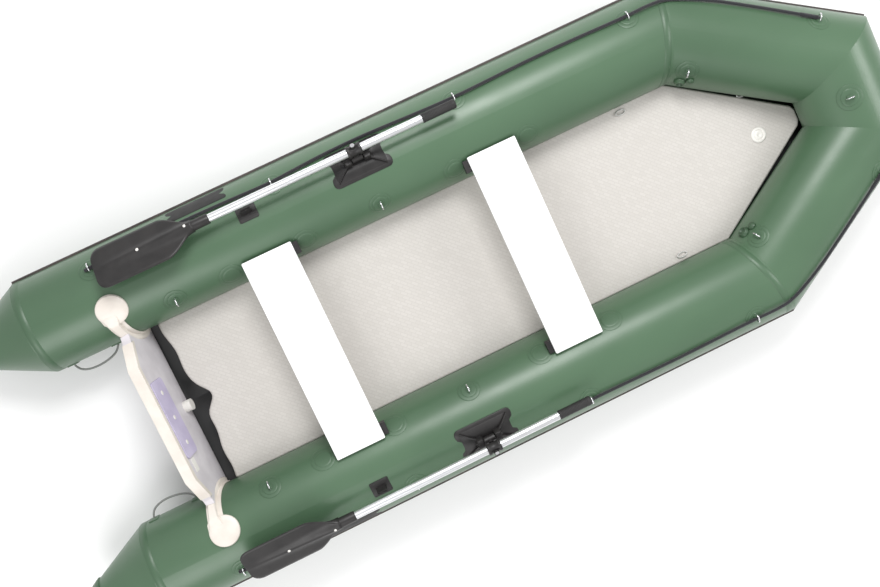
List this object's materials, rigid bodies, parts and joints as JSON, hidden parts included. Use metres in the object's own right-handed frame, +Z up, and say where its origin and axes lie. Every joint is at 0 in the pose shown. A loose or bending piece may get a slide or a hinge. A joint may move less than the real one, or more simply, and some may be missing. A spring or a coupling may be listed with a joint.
{
  "type": "inflatable boat",
  "caption": "Open inflatable boat with raked transom, air floor, benches and oars on tilting oarlocks.",
  "frame": {"origin": "on the ground under the middle of the boat", "axes": "+X to the bow, +Y to port, +Z up"},
  "size_m": [3.555, 1.3759, 0.4677],
  "materials": {
    "hull_green": "semi-gloss coated fabric",
    "valve_green": "satin",
    "strake_brown": "matt",
    "skin_black": "matt",
    "floor_beige": "embossed",
    "transom_grey": "satin",
    "plate_lavender": "satin",
    "fitting_white": "satin",
    "bench_white": "gloss",
    "steel": "polished",
    "shaft_alloy": "anodised",
    "swivel_black": "satin",
    "plastic_black": "satin",
    "rope_black": "braided",
    "rope_grey": "braided"
  },
  "bodies": {
    "hull": {"aft_bench": "bench_white", "air_floor": "floor_beige", "bench_holders": "plastic_black", "d_rings": "steel", "drain_valve": "fitting_white", "floor_valve": "fitting_white", "fore_bench": "bench_white", "hull_bottom": "skin_black", "inner_motor_plate": "plate_lavender", "nose_rub_strake": "strake_brown", "nose_tube": "hull_green", "outer_motor_plate": "plate_lavender", "port_bow_tube": "hull_green", "port_grab_line": "rope_black", "port_oar_clip": "plastic_black", "port_oarlock_base": "plastic_black", "port_rub_strake": "strake_brown", "port_side_tube": "hull_green", "port_stern_cone": "hull_green", "port_stern_handle": "rope_grey", "port_transom_holder": "transom_grey", "starboard_bow_tube": "hull_green", "starboard_grab_line": "rope_black", "starboard_oar_clip": "plastic_black", "starboard_oarlock_base": "plastic_black", "starboard_rub_strake": "strake_brown", "starboard_side_tube": "hull_green", "starboard_stern_cone": "hull_green", "starboard_stern_handle": "rope_grey", "starboard_transom_holder": "transom_grey", "stern_cone_caps": "hull_green", "transom_board": "transom_grey", "tube_valves": "valve_green"},
    "port_oarlock": {"port_oarlock_swivel": "swivel_black"},
    "port_oar": {"port_oar_shaft": "shaft_alloy", "port_oar_grip": "plastic_black", "port_oar_collar": "plastic_black", "port_oar_blade": "plastic_black"},
    "starboard_oarlock": {"starboard_oarlock_swivel": "swivel_black"},
    "starboard_oar": {"starboard_oar_shaft": "shaft_alloy", "starboard_oar_grip": "plastic_black", "starboard_oar_collar": "plastic_black", "starboard_oar_blade": "plastic_black"}
  },
  "joints": [
    {"name": "port_oarlock_tilt", "type": "hinge", "parent": "hull", "child": "port_oarlock", "pos_m": [-0.202, 0.56206, 0.37818], "axis": [1, 0, 0], "range_deg": [0, 45]},
    {"name": "port_oar_swing", "type": "hinge", "parent": "port_oarlock", "child": "port_oar", "pos_m": [-0.202, 0.58787, 0.41505], "axis": [0, -0.5736, -0.8192], "range_deg": [0, 120]},
    {"name": "starboard_oarlock_tilt", "type": "hinge", "parent": "hull", "child": "starboard_oarlock", "pos_m": [-0.202, -0.56206, 0.37818], "axis": [-1, 0, 0], "range_deg": [0, 45]},
    {"name": "starboard_oar_swing", "type": "hinge", "parent": "starboard_oarlock", "child": "starboard_oar", "pos_m": [-0.202, -0.58787, 0.41505], "axis": [0, -0.5736, 0.8192], "range_deg": [0, 120]}
  ]
}
